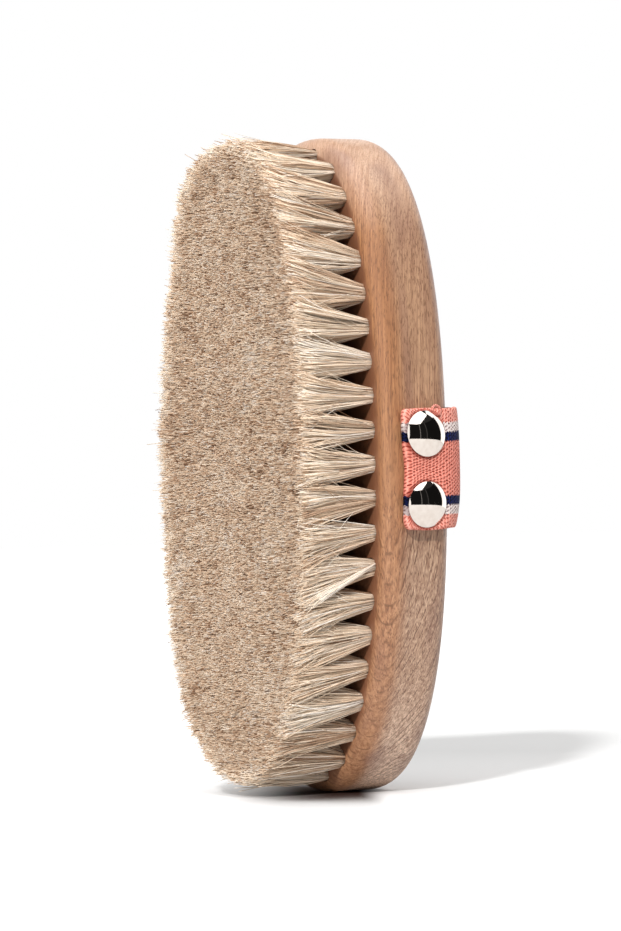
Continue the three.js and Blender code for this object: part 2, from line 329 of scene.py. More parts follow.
start_fresh()
bpy.ops.mesh.primitive_circle_add(
    vertices=OUTLINE_SIDES, radius=1.0, fill_type="NGON", rotation=(math.pi / 2, 0.0, 0.0)
)
beech_block = bpy.context.object
beech_block.name = "beech_block"
apply_place()
outline = oval(half_width, half_length, np.arange(OUTLINE_SIDES) / OUTLINE_SIDES)
for vertex, (x, z) in zip(beech_block.data.vertices, outline):
    vertex.co = (x, front_y, middle_z + z)
bpy.ops.object.mode_set(mode="EDIT")
bpy.ops.mesh.select_all(action="SELECT")
bpy.ops.mesh.extrude_region_move(TRANSFORM_OT_translate={"value": (0.0, back_y - front_y, 0.0)})
face_outward()
pick_edges(beech_block, lambda place: abs(place.y - front_y) < CLOSE_TO)
bpy.ops.mesh.bevel(offset=FRONT_ROUND, segments=10, profile=0.5, affect="EDGES")
pick_edges(beech_block, lambda place: abs(place.y - back_y) < CLOSE_TO)
bpy.ops.mesh.bevel(offset=BACK_ROUND, segments=12, profile=0.5, affect="EDGES")

HOLE_RADIUS = 1.9 * MM
HOLE_DEPTH = 6.0 * MM
OUTER_ROOTS = (22.65 * MM, 64.4 * MM)
ROOT_STEP = 7.55 * MM
RING_TUFTS = (42, 34, 28)
ROW_TUFTS = 12
ROW_PITCH = 6.88 * MM
NAIL_NAMES = ("right_upper_nail", "right_lower_nail", "left_upper_nail", "left_lower_nail")
NAIL_SHIFT = 0.3 * MM  # nearer to the hair than the solids
NAIL_HOLE_RADIUS, NAIL_HOLE_LENGTH, NAIL_HOLE_MIDDLE = 1.0 * MM, 16.0 * MM, 7.8 * MM


def root_ring(ring):
    return [size - ring * ROOT_STEP for size in OUTER_ROOTS]


def drill(radius, depth, turned, sides, spots):
    start_fresh()
    bpy.ops.mesh.primitive_cylinder_add(vertices=sides, radius=radius, depth=depth, rotation=turned)
    first = bpy.context.object
    apply_place()
    copies = []
    for spot in spots:
        copied = bpy.data.objects.new("drill", first.data.copy())
        copied.data.transform(Matrix.Translation(spot))
        bpy.context.collection.objects.link(copied)
        copies.append(copied)
    bpy.data.objects.remove(first)
    return copies


ring_roots = [oval(*root_ring(ring), np.arange(count) / count) for ring, count in enumerate(RING_TUFTS)]
row_roots = np.stack([np.zeros(ROW_TUFTS), (np.arange(ROW_TUFTS) + 0.5 - ROW_TUFTS / 2) * ROW_PITCH], -1)
hole_y = front_y + (HOLE_DEPTH - HOLE_RADIUS) / 2
tuft_spots = [(x, hole_y, middle_z + z) for x, z in np.concatenate([*ring_roots, row_roots])]
nail_spots = []
for name in NAIL_NAMES:
    low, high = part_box(name)
    inner = low.x if low.x > 0 else high.x
    hole_x = inner + math.copysign(NAIL_HOLE_MIDDLE, inner)
    nail_spots.append((hole_x, (low.y + high.y) / 2 - NAIL_SHIFT, (low.z + high.z) / 2))
drills = drill(HOLE_RADIUS, HOLE_DEPTH + HOLE_RADIUS, (math.pi / 2, 0.0, 0.0), 24, tuft_spots)
drills += drill(NAIL_HOLE_RADIUS, NAIL_HOLE_LENGTH, (0.0, math.pi / 2, 0.0), 16, nail_spots)
make_active(drills[0])
for copied in drills:
    copied.select_set(True)
bpy.ops.object.join()
all_drills = bpy.context.object


def new_group(name, inputs, outputs):
    made = bpy.data.node_groups.new(name, "ShaderNodeTree")
    for socket, kind in inputs.items():
        made.interface.new_socket(socket, in_out="INPUT", socket_type=kind)
    for socket in outputs:
        made.interface.new_socket(socket, in_out="OUTPUT", socket_type="NodeSocketFloat")
    return made, add_node(made, "NodeGroupInput").outputs


def combined(tree, *parts):
    return add_node(tree, "ShaderNodeCombineXYZ", dict(enumerate(parts))).outputs[0]


def noise(tree, place, scale, detail, roughness=0.5):
    spread = vector_maths(tree, "MULTIPLY", place, scale)
    inputs = {"Vector": spread, "Scale": 1.0, "Detail": detail, "Roughness": roughness}
    return add_node(tree, "ShaderNodeTexNoise", inputs).outputs[0]


# The beech's figure, in millimetres: year rings that rise and bend and are broken into dashes, and fine
# fibre and pores. Above the strap the fibre stands upright, and the rings all but fade out.
RING_WAY, BESIDE_WAY, FIBRE_WAY = (0.753, -0.657, 0.0), (0.657, 0.753, 0.0), (-0.15, 0.131, 0.980)
RING_WIDTH = 1.05
RING_RISE, RING_BEND, RING_LEVEL = 0.29, 0.0018, 77.0
RING_SWIRL, RING_WAVE = 5.0, 0.35
STREAK_Y, STREAK_SWIRL = 4.2, 4.0
grain, grain_in = new_group("beech_grain", {"Place": "NodeSocketVector"}, ("Rings", "Fibre", "Pores", "Band"))
millimetres = vector_maths(grain, "MULTIPLY", grain_in["Place"], (1000.0, 1000.0, 1000.0))
wood_spot = add_node(grain, "ShaderNodeSeparateXYZ", {0: millimetres}).outputs
height = wood_spot["Z"]
across_rings, beside_rings, along_fibre = [
    vector_maths(grain, "DOT_PRODUCT", millimetres, way) for way in (RING_WAY, BESIDE_WAY, FIBRE_WAY)
]
swirl = noise(grain, millimetres, (0.035, 0.035, 0.014), 2.0)
wavy = noise(grain, millimetres, (0.5, 0.5, 0.35), 1.0)
held = maths(grain, "MINIMUM", height, RING_LEVEL)
rise = maths(grain, "MULTIPLY_ADD", held, -RING_BEND, RING_RISE)
ring_at = maths(grain, "MULTIPLY_ADD", held, rise, across_rings)
ring_at = maths(grain, "MULTIPLY_ADD", swirl, RING_SWIRL, ring_at)
ring_at = maths(grain, "MULTIPLY_ADD", wavy, RING_WAVE, ring_at)
in_tree = combined(grain, ring_at, beside_rings, along_fibre)
upright = combined(grain, across_rings, beside_rings, height)
ring_count = product(grain, ring_at, 1 / RING_WIDTH)
ring_stops = ((0.0, 0.1), (0.05, 0.0), (0.74, 0.0), (0.84, 0.3), (0.88, 1.0), (0.97, 1.0), (1.0, 0.1))
ring_stops = [(position, grey(level)) for position, level in ring_stops]
ring_line = colour_ramp(grain, maths(grain, "FRACT", ring_count), ring_stops)
broken = scaled(grain, noise(grain, in_tree, (1.3, 0.5, 0.42), 1.0), 0.44, 0.51)
ring_number = maths(grain, "FLOOR", ring_count)
ring_luck = add_node(grain, "ShaderNodeTexWhiteNoise", {"W": ring_number}, noise_dimensions="1D")
ring_depth = maths(grain, "POWER", ring_luck.outputs["Value"], 0.7)
ring_depth = product(grain, ring_depth, scaled(grain, height, 86.0, 58.0, 0.05, 1.0))
rings = product(grain, product(grain, ring_line, broken), ring_depth)
top_share = eased(grain, height, 58.0, 80.0)
under_cap = eased(grain, height, 120.0, 100.0)


def upwards(low_wall, high_wall):
    return add_node(grain, "ShaderNodeMix", {0: top_share, 2: low_wall, 3: high_wall}).outputs[0]


low_fibre = noise(grain, in_tree, (2.2, 1.4, 0.07), 3.0, 0.6)
high_fibre = noise(grain, upright, (0.25, 3.4, 0.06), 3.0, 0.65)
low_pores = noise(grain, in_tree, (4.6, 4.2, 0.7), 1.0)
high_pores = noise(grain, upright, (2.0, 5.0, 0.55), 2.0, 0.6)
high_pores = maths(grain, "MULTIPLY_ADD", high_pores, 1.3, -0.14)
streak = maths(grain, "MULTIPLY_ADD", swirl, STREAK_SWIRL, wood_spot["Y"])
streak = maths(grain, "ABSOLUTE", maths(grain, "SUBTRACT", streak, STREAK_Y))
streak = product(grain, eased(grain, streak, 3.0, 0.4, 0.0, 0.64), top_share, under_cap)
band = maths(grain, "MAXIMUM", noise(grain, in_tree, (0.14, 0.14, 0.010), 1.0), streak)
fibre, pores = upwards(low_fibre, high_fibre), upwards(low_pores, high_pores)
add_node(grain, "NodeGroupOutput", {"Rings": rings, "Fibre": fibre, "Pores": pores, "Band": band})


def colour(code):
    parts = [int(code[at : at + 2], 16) / 255 for at in (0, 2, 4)]
    return (*[c / 12.92 if c <= 0.04045 else ((c + 0.055) / 1.055) ** 2.4 for c in parts], 1.0)


oiled_beech, tree = new_material("oiled_beech")
object_place = own_place(tree)
figure = add_node(tree, "ShaderNodeGroup", {"Place": object_place}, node_tree=grain).outputs
wood_spot = add_node(tree, "ShaderNodeSeparateXYZ", {0: object_place}).outputs
low_share = eased(tree, wood_spot["Z"], 78 * MM, 40 * MM)
end_share = eased(tree, wood_spot["Z"], 30 * MM, 6 * MM)
# Paler and whiter towards the top end: a painted sheen from the lamp above.
top_sheen_share = scaled(tree, wood_spot["Z"], 116 * MM, 135 * MM, 0.0, 0.85)
front_share = eased(tree, wood_spot["Y"], 2.8 * MM, -1.3 * MM)
# The flat face between the tufts is darkened: painted shade from the tufts.
flat_painted_shade = eased(tree, wood_spot["Y"], -3.62 * MM, -3.82 * MM, 0.0, 0.85)
# The rounding at the back is darkened, less so on the flat back: painted shade, which tones down a bright
# grazing reflection there.
back_painted_shade = eased(tree, wood_spot["Y"], 8.5 * MM, 13.0 * MM)
back_painted_shade = product(tree, back_painted_shade, eased(tree, wood_spot["Y"], 12.4 * MM, 13.65 * MM, 1.0, 0.35))
pale = mix_colours(tree, low_share, colour("c79f7d"), colour("c8a68b"))
pale = mix_colours(tree, end_share, pale, colour("ffe0c6"))
front_pale = mix_colours(tree, low_share, colour("b78359"), colour("be8d67"))
pale = mix_colours(tree, front_share, pale, front_pale)
# The painted sheen at the top.
pale = mix_colours(tree, top_sheen_share, pale, colour("dfbfa8"))
deep = mix_colours(tree, low_share, colour("8b644b"), colour("8a634b"))
deep = mix_colours(tree, front_share, deep, colour("865738"))
deep = mix_colours(tree, top_sheen_share, deep, colour("b88c6e"))
wood = mix_colours(tree, scaled(tree, figure["Fibre"], 0.28, 0.72), pale, deep)
wood = mix_colours(tree, scaled(tree, figure["Band"], 0.45, 0.68, 0.0, 0.45), wood, colour("795347"))
on_low_wall = product(tree, maths(tree, "MULTIPLY_ADD", front_share, -0.85, 1.0), low_share)
# Pale flecks on the lower wall beside the dark pores: painted highlights on the pores' edges.
pore_highlight = scaled(tree, figure["Pores"], 0.42, 0.22, 0.0, 0.5)
pore_highlight = product(tree, pore_highlight, on_low_wall, scaled(tree, end_share, 0.0, 1.0, 1.0, 0.15))
wood = mix_colours(tree, pore_highlight, wood, colour("f2d2b0"))
# Dark pores, fainter under the painted sheen at the top and at the low end.
pore = product(
    tree,
    scaled(tree, figure["Pores"], 0.53, 0.68),
    scaled(tree, on_low_wall, 0.0, 1.0, 0.66, 0.85),
    scaled(tree, top_sheen_share, 0.0, 0.85, 1.0, 0.4),
    scaled(tree, end_share, 0.0, 1.0, 1.0, 0.6),
)
wood = mix_colours(tree, pore, wood, colour("65402b"))
ring_mark = scaled(tree, figure["Rings"], 0.0, 0.6, 0.0, 0.85)
ring_mark = product(tree, ring_mark, scaled(tree, front_share, 0.0, 1.0, 1.0, 0.6))
wood = mix_colours(tree, ring_mark, wood, colour("5a341c"))
# Painted shade on the back rounding.
wood = mix_colours(tree, back_painted_shade, wood, (0.80, 0.65, 0.53, 1), "MULTIPLY")
# Painted shade on the flat face between the tufts.
wood = mix_colours(tree, flat_painted_shade, wood, colour("7c5039"))
relief = maths(tree, "MULTIPLY_ADD", figure["Pores"], -0.7, figure["Fibre"])
relief = maths(tree, "MULTIPLY_ADD", figure["Rings"], -0.8, relief)
bump = add_node(tree, "ShaderNodeBump", {"Height": relief, "Strength": 0.3, "Distance": 0.1 * MM}).outputs[0]
satin = scaled(tree, figure["Fibre"], 0.2, 0.8, 0.34, 0.48)
surface = add_node(tree, "ShaderNodeBsdfPrincipled", {"Base Color": wood, "Roughness": satin, "Normal": bump})
surface.inputs["Specular IOR Level"].default_value = 0.75
show(tree, surface)

# The walls of the holes are darker than the block: painted shade in the holes.
shaded_hole_beech, tree = new_material("shaded_hole_beech")
figure = add_node(tree, "ShaderNodeGroup", {"Place": own_place(tree)}, node_tree=grain).outputs
wood = mix_colours(tree, scaled(tree, figure["Fibre"], 0.3, 0.7), colour("8a5d3c"), colour("5d3a24"))
surface = add_node(tree, "ShaderNodeBsdfPrincipled", {"Base Color": wood, "Roughness": 0.8})
show(tree, surface)

beech_block.data.materials.append(oiled_beech)
all_drills.data.materials.append(shaded_hole_beech)
cut = {"operation": "DIFFERENCE", "solver": "EXACT", "object": all_drills, "material_mode": "TRANSFER"}
apply_modifier(beech_block, "BOOLEAN", **cut)
bpy.data.objects.remove(all_drills)
make_active(beech_block)
bpy.ops.object.shade_smooth_by_angle(angle=math.radians(30))
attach(beech_block, "root")
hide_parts("oval_block")

# The tufts: bundles of pale horsehair, folded in two and set in the holes in three rings and a middle row.
# Each bundle is tight where it leaves the wood and fans out, and all are clipped to one face.
FACE_OUTLINE = (25.35 * MM, 67.0 * MM)
FACE_STEP = 7.243 * MM
ROOT_RADIUS = 1.54 * MM
ROOT_DEPTH = 1.2 * MM
# The cut end of each hair takes the painted shade at this share of its length, brighter than the tips: a
# painted light.
CUT_SHADE = 0.93
face_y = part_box("outer_tuft_01")[0].y
hair_rng = np.random.default_rng(2317)


def model_hair(segments, tip):
    start_fresh()
    bpy.ops.mesh.primitive_circle_add(vertices=3, radius=1.0, fill_type="NOTHING")
    made = bpy.context.object
    bpy.ops.object.mode_set(mode="EDIT")
    bpy.ops.mesh.select_all(action="SELECT")
    for _ in range(segments):
        bpy.ops.mesh.extrude_region_move(TRANSFORM_OT_translate={"value": (0.0, 0.0, 1.0 / segments)})
    bpy.ops.transform.resize(value=(tip, tip, 1.0))
    bpy.ops.mesh.edge_face_add()
    face_outward()
    start_fresh()
    shape = np.array([vertex.co for vertex in made.data.vertices])
    faces = [tuple(face.vertices) for face in made.data.polygons]
    bpy.data.objects.remove(made)
    return shape, faces


# One mesh of many copies of a hair, each bent from its root to its tip. The chart holds its tone, and its
# length, which sets its painted light and shade.
def hair_piece(name, hair, roots, tips, bows, radii, tones, painted_shade_reach):
    shape, faces = hair
    count, along = len(roots), shape[:, 2]
    ease = 0.75 * along + 0.25 * along**2
    way = tips - roots
    reach = np.stack([ease, along, ease], -1)
    arc = np.sin(np.pi * along)[None, :, None]
    centre = roots[:, None] + way[:, None] * reach[None] + bows[:, None] * arc
    ahead = way / np.linalg.norm(way, axis=1, keepdims=True)
    spin = hair_rng.uniform(0, 2 * np.pi, count)
    first = np.cross(ahead, [0.0, 0.0, 1.0])
    first /= np.linalg.norm(first, axis=1, keepdims=True)
    second = np.cross(ahead, first)
    first_way = np.cos(spin)[:, None] * first + np.sin(spin)[:, None] * second
    second_way = np.cos(spin)[:, None] * second - np.sin(spin)[:, None] * first
    rim = shape[None, :, :1] * first_way[:, None] + shape[None, :, 1:2] * second_way[:, None]
    points = centre + rim * radii[:, None, None]
    sizes = np.array([len(face) for face in faces])
    corners = np.concatenate([np.array(face) for face in faces])
    starts = np.concatenate([[0], np.cumsum(sizes)[:-1]])
    numbers = np.arange(count)[:, None]
    mesh = bpy.data.meshes.new(name)
    mesh.vertices.add(count * len(shape))
    mesh.vertices.foreach_set("co", points.astype(np.float32).ravel())
    mesh.loops.add(count * len(corners))
    mesh.loops.foreach_set("vertex_index", (numbers * len(shape) + corners[None]).astype(np.int32).ravel())
    mesh.polygons.add(count * len(faces))
    mesh.polygons.foreach_set("loop_start", (numbers * len(corners) + starts[None]).astype(np.int32).ravel())
    mesh.update(calc_edges=True)
    mesh.validate()
    mesh.shade_smooth()
    chart = mesh.uv_layers.new(name="OFBake")
    tone_at = np.repeat(tones[:, None], len(corners), 1)
    shaded = np.where(np.repeat(sizes, sizes) == 3, CUT_SHADE, along[corners])
    along_at = 0.01 + 0.98 * painted_shade_reach[:, None] * shaded[None]
    chart.data.foreach_set("uv", np.stack([tone_at, along_at], -1).astype(np.float32).ravel())
    made = bpy.data.objects.new(name, mesh)
    bpy.context.collection.objects.link(made)
    return made


def on_disk(a, b):
    size = np.maximum(np.abs(a), np.abs(b))
    long = np.maximum(np.hypot(a, b), 1e-9)
    return a * size / long, b * size / long


def from_hole(place, across, out):
    (root_x, root_z), along_way, out_way = place
    spot_x = root_x + ROOT_RADIUS * (across * along_way[0] + out * out_way[0])
    spot_z = root_z + ROOT_RADIUS * (across * along_way[1] + out * out_way[1])
    return np.stack([spot_x, np.full(len(across), front_y + ROOT_DEPTH), spot_z + middle_z], -1)


def on_face(face, depth):
    return np.stack([face[:, 0], face_y + depth * MM, face[:, 1] + middle_z], -1)


def bowed(x, z):
    return np.stack([x, np.zeros(len(x)), z], -1)


EVEN_STEPS = (0.7548777, 0.5698403)  # these steps spread points evenly over a square
HAIR_RADIUS, RADIUS_SPREAD, THINNEST, THICKEST = 0.084, 0.014, 0.05, 0.12
MEAN_TONE, TUFT_TONES, LOCK_TONES, HAIR_TONES = 0.55, 0.045, 0.15, 0.15
DARK_SHARE, PALE_SHARE = 0.08, 0.07
LOCK_BEND, HAIR_BEND = 0.30, 0.28
LOCK_PULL, BEND_PULL = 0.32, 0.2
CLIP_UNEVEN, LOCK_UNEVEN, RIM_UNEVEN = 0.27, 0.40, 0.5
LOOSE_SHARE, LOOSE_REACH, RAGGED = 0.4, 0.17, 0.09
FLOOR_GAP, FLOOR_UNEVEN = 0.3, 0.9


def even_spots(count):
    return 2 * ((hair_rng.random(2) + np.arange(count)[:, None] * EVEN_STEPS) % 1) - 1


# A tuft's hairs, gathered in locks. They fill the hole at their roots and the tuft's cell of the face at
# their tips, both as a square from -1 to 1 with b outwards. The value rim is 1 in the outer ring, or else 0.
def fanned(place, cell, locks, hairs, spread, rim):
    out_x = place[2][0]
    a, b = even_spots(hairs).T
    b = 1 - 2 * ((1 - b) / 2) ** (1 + 0.25 * rim)
    centres = even_spots(locks) + hair_rng.normal(0, 0.05, (locks, 2))
    member = np.argmin((a[:, None] - centres[:, 0]) ** 2 + (b[:, None] - centres[:, 1]) ** 2, axis=1)
    lock_tone = hair_rng.normal(hair_rng.normal(MEAN_TONE - 0.02 * rim, TUFT_TONES), LOCK_TONES, locks)
    lock_bend = hair_rng.normal(0.0, LOCK_BEND, (locks, 2))
    across, out = on_disk(a, b)
    roots = from_hole(place, across + 0.7 * rim * (a - across), out + 0.7 * rim * (b - out))
    wild = np.where(hair_rng.random(hairs) < 0.34 - 0.16 * rim, 2.2 - 1.2 * rim, 0.32)[:, None]
    near_rim = rim * np.clip((b - 0.05 - 0.35 * max(out_x, 0.0)) / 0.6, 0, 1)
    loose = hair_rng.random(hairs) < LOOSE_SHARE * rim
    flown = np.where(loose, hair_rng.exponential(LOOSE_REACH, hairs), 0)
    flown = flown * (b > 0.45) * (0.35 + 0.65 * abs(out_x))
    ragged = rim * hair_rng.normal(0, RAGGED, locks)[member] * np.clip(b, 0, 1)
    face = cell(a * spread, b + flown + ragged)
    gather = cell(centres[:, 0] * spread, centres[:, 1])[member] - face
    face = face + LOCK_PULL * gather + hair_rng.normal(0, 1, (hairs, 2)) * wild * MM
    depth = hair_rng.gamma(2.0, CLIP_UNEVEN, hairs) + np.abs(hair_rng.normal(0, LOCK_UNEVEN, locks))[member]
    depth += rim * np.clip((b - 0.45) / 0.6, 0, 1) ** 2 * hair_rng.gamma(2.0, RIM_UNEVEN, hairs)
    lowest = (FLOOR_GAP + hair_rng.uniform(0, FLOOR_UNEVEN, hairs)) * MM - middle_z
    face[:, 1] = np.maximum(face[:, 1], lowest)
    bend = BEND_PULL * gather + (lock_bend[member] + hair_rng.normal(0, HAIR_BEND, (hairs, 2))) * MM
    # Near the rim of the face the hairs are paler, and their tips keep less of the dark: painted light on the
    # rim.
    tones = lock_tone[member] + hair_rng.normal(0, HAIR_TONES, hairs) + 0.10 * near_rim
    odd = hair_rng.random(hairs)
    dark = (odd < DARK_SHARE - 0.03 * rim) & (flown < 0.1)
    tones = np.where(dark, hair_rng.uniform(0.0, 0.18, hairs), tones)
    tones = np.where(odd > 1 - PALE_SHARE, hair_rng.uniform(0.86, 1.0, hairs), tones)
    radii = np.clip(hair_rng.normal(HAIR_RADIUS, RADIUS_SPREAD, hairs), THINNEST, THICKEST) * MM
    tones = np.clip(tones, 0.02, 0.98)
    return [roots, on_face(face, depth), bowed(*bend.T), radii, tones, 1 - 0.07 * near_rim]


# How far, in millimetres, the tufts lean along their ring and splay out at the left, by height from -1 to 1.
LEAN_AT = (-1.0, -0.92, -0.6, -0.3, -0.1, 0.15, 0.5, 0.8, 0.95, 1.0)
LEAN_BY = (0.0, -2.0, -2.6, -2.2, -1.2, 0.0, 0.3, 1.2, 1.2, 0.0)
LEAN_SIZE = (1.0, 0.6, 0.3)
SPLAY_AT = (-1.0, -0.89, -0.76, -0.5, -0.2, 0.0, 0.11, 0.23, 0.48, 0.61, 0.73, 0.86, 0.95, 1.0)
SPLAY_BY = (0.0, 0.2, 1.9, 2.0, 1.9, 2.3, 2.7, 1.8, 1.0, 0.6, 1.9, 3.0, 2.4, 0.0)
LOW_REACH = 0.974
LEAN_RUN = 4.3 * OUTER_ROOTS[1]


def face_ring(ring):
    return [size - ring * FACE_STEP for size in FACE_OUTLINE]


def ring_cell(ring, share):
    outer, inner = face_ring(ring), face_ring(ring + 1)
    turn = 2 * math.pi * share
    lean = LEAN_SIZE[ring] * np.interp(math.sin(turn), LEAN_AT, LEAN_BY) * math.copysign(1, math.cos(turn))
    tip_share = share + lean * MM / LEAN_RUN

    def cell(a, b):
        shares = tip_share + a * 0.5 / RING_TUFTS[ring]
        edge = (b[:, None] + 1) / 2
        spots = oval(*inner, shares) * (1 - edge) + oval(*outer, shares) * edge
        if ring == 0:
            spots[:, 1] *= np.where(spots[:, 1] < 0, LOW_REACH, 1.0)
            splay = np.interp(spots[:, 1] / FACE_OUTLINE[1], SPLAY_AT, SPLAY_BY) * MM
            spots[:, 0] -= splay * np.clip(edge[:, 0], 0, 1) * (spots[:, 0] < 0)
        return spots

    return cell


def row_cell(z):
    half_gap = face_ring(3)

    def cell(a, b):
        level = np.clip(z + a * ROW_PITCH * 0.55, -0.995 * half_gap[1], 0.995 * half_gap[1])
        wide = half_gap[0] * (1 - np.abs(level / half_gap[1]) ** OVAL_POWER) ** (1 / OVAL_POWER)
        return np.stack([b * wide * 1.1, level], -1)

    return cell


def place_in_ring(ring, number):
    shares = np.array([number - 0.05, number + 0.05]) / RING_TUFTS[ring]
    before, after = oval(*root_ring(ring), shares)
    along_way = (after - before) / np.linalg.norm(after - before)
    return ring_roots[ring][number], along_way, np.array([along_way[1], -along_way[0]])


def stray(place, cell, count):
    across, out = on_disk(hair_rng.uniform(-0.9, 0.9, count), hair_rng.uniform(0.3, 1.0, count))
    aside = hair_rng.choice([-1.0, 1.0], count)
    face = cell(aside * hair_rng.uniform(0.9, 2.3, count), hair_rng.uniform(0.7, 1.1, count))
    reaching = hair_rng.random(count) < 0.7
    depth = np.where(reaching, hair_rng.uniform(0.2, 3.0, count), hair_rng.uniform(4.0, 9.0, count))
    push, slide = hair_rng.normal(0.5, 0.4, count), -aside * hair_rng.normal(0.8, 0.7, count)
    bends = [push * place[2][axis] + slide * place[1][axis] for axis in (0, 1)]
    dark = hair_rng.random(count) < 0.2
    tones = np.where(dark, hair_rng.uniform(0.03, 0.2, count), hair_rng.uniform(0.5, 0.95, count))
    radii = hair_rng.uniform(0.04, 0.06, count) * MM
    roots, tips, bows = from_hole(place, across, out), on_face(face, depth), bowed(*bends) * MM
    return [roots, tips, bows, radii, tones, np.full(count, 0.93)]


def white_lock(place, cell, count):
    roots = from_hole(place, hair_rng.uniform(0.45, 0.85, count), hair_rng.uniform(0.75, 1.0, count))
    face = cell(hair_rng.normal(-1.1, 0.10, count), hair_rng.uniform(1.02, 1.2, count))
    tips = on_face(face, hair_rng.uniform(1.5, 4.5, count))
    push = hair_rng.normal(0.9, 0.15, count)
    bows = bowed(push * place[2][0], push * place[2][1]) * MM
    radii, tones = np.full(count, 0.07 * MM), hair_rng.uniform(0.85, 0.98, count)
    return [roots, tips, bows, radii, tones, np.full(count, 0.9)]


horsehair, tree = new_material("horsehair")
chart = add_node(tree, "ShaderNodeUVMap", uv_map="OFBake").outputs[0]
hair_spot = add_node(tree, "ShaderNodeSeparateXYZ", {0: chart}).outputs
TONES = (
    (0.0, "664733"), (0.10, "9c785c"), (0.25, "d0b094"), (0.45, "edd4b9"),
    (0.68, "f9e8d1"), (0.88, "fff4e4"), (1.0, "fffaf3"),
)
# Painted light and shade along each hair, by its length: dark at the root, in and just out of the hole, a
# little brighter along the sides, and darker at the clipped tips that make the face.
PAINTED_LENGTH_SHADE = (
    (0.0, (0.40, 0.31, 0.25, 1)), (0.10, (0.84, 0.79, 0.76, 1)), (0.25, (0.97, 0.95, 0.94, 1)),
    (0.75, (1.03, 1.02, 1.01, 1)), (0.93, (1.03, 1.00, 0.98, 1)), (0.97, (0.83, 0.77, 0.725, 1)),
    (1.0, (0.80, 0.74, 0.695, 1)),
)
hair_tone = colour_ramp(tree, hair_spot[0], [(at, colour(code)) for at, code in TONES])
hair_colour = mix_colours(tree, 1.0, hair_tone, colour_ramp(tree, hair_spot[1], PAINTED_LENGTH_SHADE), "MULTIPLY")
gloss = scaled(tree, hair_spot[0], 0.0, 1.0, 0.42, 0.56)
surface = add_node(tree, "ShaderNodeBsdfPrincipled", {"Base Color": hair_colour, "Roughness": gloss})
surface.inputs["Specular IOR Level"].default_value = 0.2
show(tree, surface)


def finish_hair(name, hair, parts, node):
    piece = hair_piece(name, hair, *[np.concatenate(columns) for columns in zip(*parts)])
    piece.data.materials.append(horsehair)
    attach(piece, "root")
    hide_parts(node)


OUTER_HAIRS, OUTER_LOCKS, OUTER_SPREAD = 1000, 52, 1.2
INNER_RINGS = ((1, "second_ring", 820), (2, "third_ring", 995))
INNER_LOCKS, INNER_SPREAD = 50, 1.15
ROW_HAIRS, ROW_LOCKS = 2320, 45
STRAY_HAIRS = 5
WHITE_LOCK_TUFT, WHITE_LOCK_HAIRS = 39, 45
long_hair, short_hair = model_hair(4, 0.75), model_hair(1, 0.88)
for number in range(RING_TUFTS[0]):
    place, cell = place_in_ring(0, number), ring_cell(0, number / RING_TUFTS[0])
    parts = [fanned(place, cell, OUTER_LOCKS, OUTER_HAIRS, OUTER_SPREAD, 1.0)]
    if abs(place[2][0]) > 0.6:
        parts.append(stray(place, cell, STRAY_HAIRS))
    if number == WHITE_LOCK_TUFT:
        parts.append(white_lock(place, cell, WHITE_LOCK_HAIRS))
    finish_hair(f"outer_tuft_hair_{number + 1:02d}", long_hair, parts, f"outer_tuft_{number + 1:02d}")
for ring, name, hairs in INNER_RINGS:
    parts = []
    for number in range(RING_TUFTS[ring]):
        cell = ring_cell(ring, number / RING_TUFTS[ring])
        parts.append(fanned(place_in_ring(ring, number), cell, INNER_LOCKS, hairs, INNER_SPREAD, 0.0))
    finish_hair(f"{name}_hair", short_hair, parts, f"{name}_tufts")
parts = []
for x, z in row_roots:
    place = ((x, z), np.array([0.0, 1.0]), np.array([1.0, 0.0]))
    parts.append(fanned(place, row_cell(z), ROW_LOCKS, ROW_HAIRS, INNER_SPREAD, 0.0))
finish_hair("middle_row_hair", short_hair, parts, "middle_row_tufts")

# The hand strap: one length of striped elastic webbing, knitted in coral, navy and white yarn.
# It arches over the back of the block, and each end is folded under and nailed to the block's side.
WEBBING = 25.0
STRAP_WIDTH = WEBBING * MM
STRAP_THICK = 0.95 * MM
STRAP_LAYER = 1.15 * MM
STRAP_MIDDLE_X = 30.15 * MM
ARCH_START = 3.7 * MM  # behind the nails
TUCK_SHORT = 0.3 * MM
FOLD_STEPS, ARCH_STEPS = 25, 181
STEPS_ALONG, STEPS_ACROSS = 264, 30
COLUMN_GAP, STITCH_GAP = 0.88, 0.8
NAIL_TILTS = (math.radians(5.0), math.radians(-4.5))
strap_low, strap_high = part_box("hand_strap")
strap_middle_z = (strap_low.z + strap_high.z) / 2
nail_low, nail_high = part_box(NAIL_NAMES[0])
nail_y = (nail_low.y + nail_high.y) / 2 - NAIL_SHIFT
nail_z = [sum(corner.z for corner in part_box(name)) / 2 for name in NAIL_NAMES[:2]]
fold_y = strap_low.y + STRAP_LAYER
fold_radius = STRAP_LAYER / 2
spring_y = nail_y + ARCH_START
arch_x, arch_y = STRAP_MIDDLE_X + STRAP_LAYER / 2, strap_high.y - STRAP_LAYER / 2 - spring_y
half = [(STRAP_MIDDLE_X - fold_radius, spring_y - TUCK_SHORT)]
for turn in np.linspace(0, np.pi, FOLD_STEPS):
    half.append((STRAP_MIDDLE_X - fold_radius * math.cos(turn), fold_y - fold_radius * math.sin(turn)))
arch_turns = np.linspace(0, np.pi, ARCH_STEPS)
arch = [(arch_x * math.cos(turn), spring_y + arch_y * math.sin(turn)) for turn in arch_turns]
strap_path = np.array(half + arch + [(-x, y) for x, y in reversed(half)])
path_run = np.concatenate([[0], np.cumsum(np.hypot(*np.diff(strap_path, axis=0).T))])
strap_length = path_run[-1]
start_fresh()
bpy.ops.mesh.primitive_grid_add(x_subdivisions=STEPS_ALONG, y_subdivisions=STEPS_ACROSS, size=1.0)
webbing_strap = bpy.context.object
webbing_strap.name = "webbing_strap"
